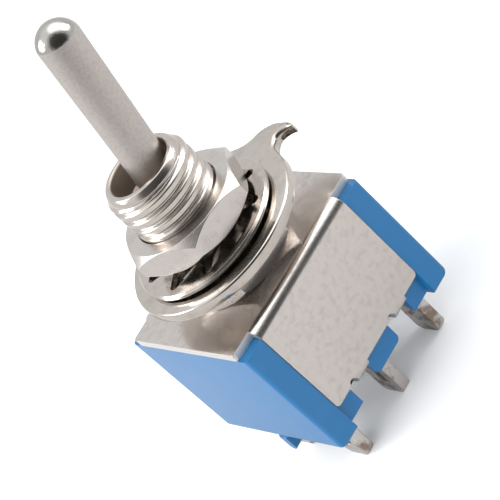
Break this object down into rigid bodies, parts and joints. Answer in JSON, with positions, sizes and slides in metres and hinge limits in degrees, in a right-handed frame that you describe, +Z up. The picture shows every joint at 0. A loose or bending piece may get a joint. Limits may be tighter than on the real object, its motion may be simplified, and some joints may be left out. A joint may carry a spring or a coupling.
{
  "type": "toggle switch",
  "caption": "Miniature two-pole toggle switch: blue moulded case in a bent metal bracket, threaded bushing with nuts and washers, metal bat lever, and solder lugs.",
  "frame": {"origin": "the lever's pivot on the bushing's axis, level with the upper nut's top face", "axes": "+Z up the bushing, out of the case; +X the way the lever leans at rest; +Y across the poles"},
  "size_m": [0.0148, 0.0124, 0.0328],
  "materials": {
    "plated_sheet": "satin nickel over sheet steel",
    "blue_moulding": "semi-gloss moulding",
    "plated_bushing": "bright nickel over brass",
    "plated_nut": "bright nickel over brass",
    "plated_washer": "bright nickel over steel",
    "plated_lever": "satin nickel with a polished dome",
    "tinned_terminal": "tin with brown tarnish",
    "contact_alloy": "silvered brass",
    "spring_steel": "drawn wire",
    "inner_moulding": "plain moulding",
    "seal_resin": "poured resin"
  },
  "bodies": {
    "housing": {"bracket": "plated_sheet", "case": "blue_moulding", "bushing": "plated_bushing", "lower_nut": "plated_nut", "upper_nut": "plated_nut", "locating_washer": "plated_washer", "tooth_lock_washer": "plated_washer", "common_terminal_front": "tinned_terminal", "left_terminal_front": "tinned_terminal", "right_terminal_front": "tinned_terminal", "terminal_seal_front": "seal_resin", "common_terminal_rear": "tinned_terminal", "left_terminal_rear": "tinned_terminal", "right_terminal_rear": "tinned_terminal", "terminal_seal_rear": "seal_resin"},
    "lever": {"lever": "plated_lever", "lever_pin": "spring_steel", "carriage": "inner_moulding", "plunger_spring_front": "spring_steel", "plunger_spring_rear": "spring_steel"},
    "plunger_front": {"plunger_front": "inner_moulding"},
    "plunger_rear": {"plunger_rear": "inner_moulding"},
    "rocker_front": {"rocker_contact_front": "contact_alloy"},
    "rocker_rear": {"rocker_contact_rear": "contact_alloy"}
  },
  "joints": [
    {"name": "lever_throw", "type": "hinge", "parent": "housing", "child": "lever", "pos_m": [0, 0, 0], "axis": [0, 1, 0], "range_deg": [-22.4, 0]},
    {"name": "plunger_front_slide", "type": "slide", "parent": "lever", "child": "plunger_front", "axis": [0.1942, 0, 0.981], "range_m": [0, 0.0003], "stiffness_N_per_m": 50, "springref_m": -0.002, "deforming": ["plunger_spring_front"]},
    {"name": "rocker_front_tilt", "type": "hinge", "parent": "housing", "child": "rocker_front", "pos_m": [0, 0, -0.01232], "axis": [0, 1, 0], "range_deg": [0, 16]},
    {"name": "plunger_rear_slide", "type": "slide", "parent": "lever", "child": "plunger_rear", "axis": [0.1942, 0, 0.981], "range_m": [0, 0.0003], "stiffness_N_per_m": 50, "springref_m": -0.002, "deforming": ["plunger_spring_rear"]},
    {"name": "rocker_rear_tilt", "type": "hinge", "parent": "housing", "child": "rocker_rear", "pos_m": [0, 0, -0.01232], "axis": [0, 1, 0], "range_deg": [0, 16]}
  ],
  "couplings": [
    {"joint": "rocker_front_tilt", "follows": "lever_throw", "ratio": -0.7142},
    {"joint": "rocker_rear_tilt", "follows": "lever_throw", "ratio": -0.7142}
  ]
}
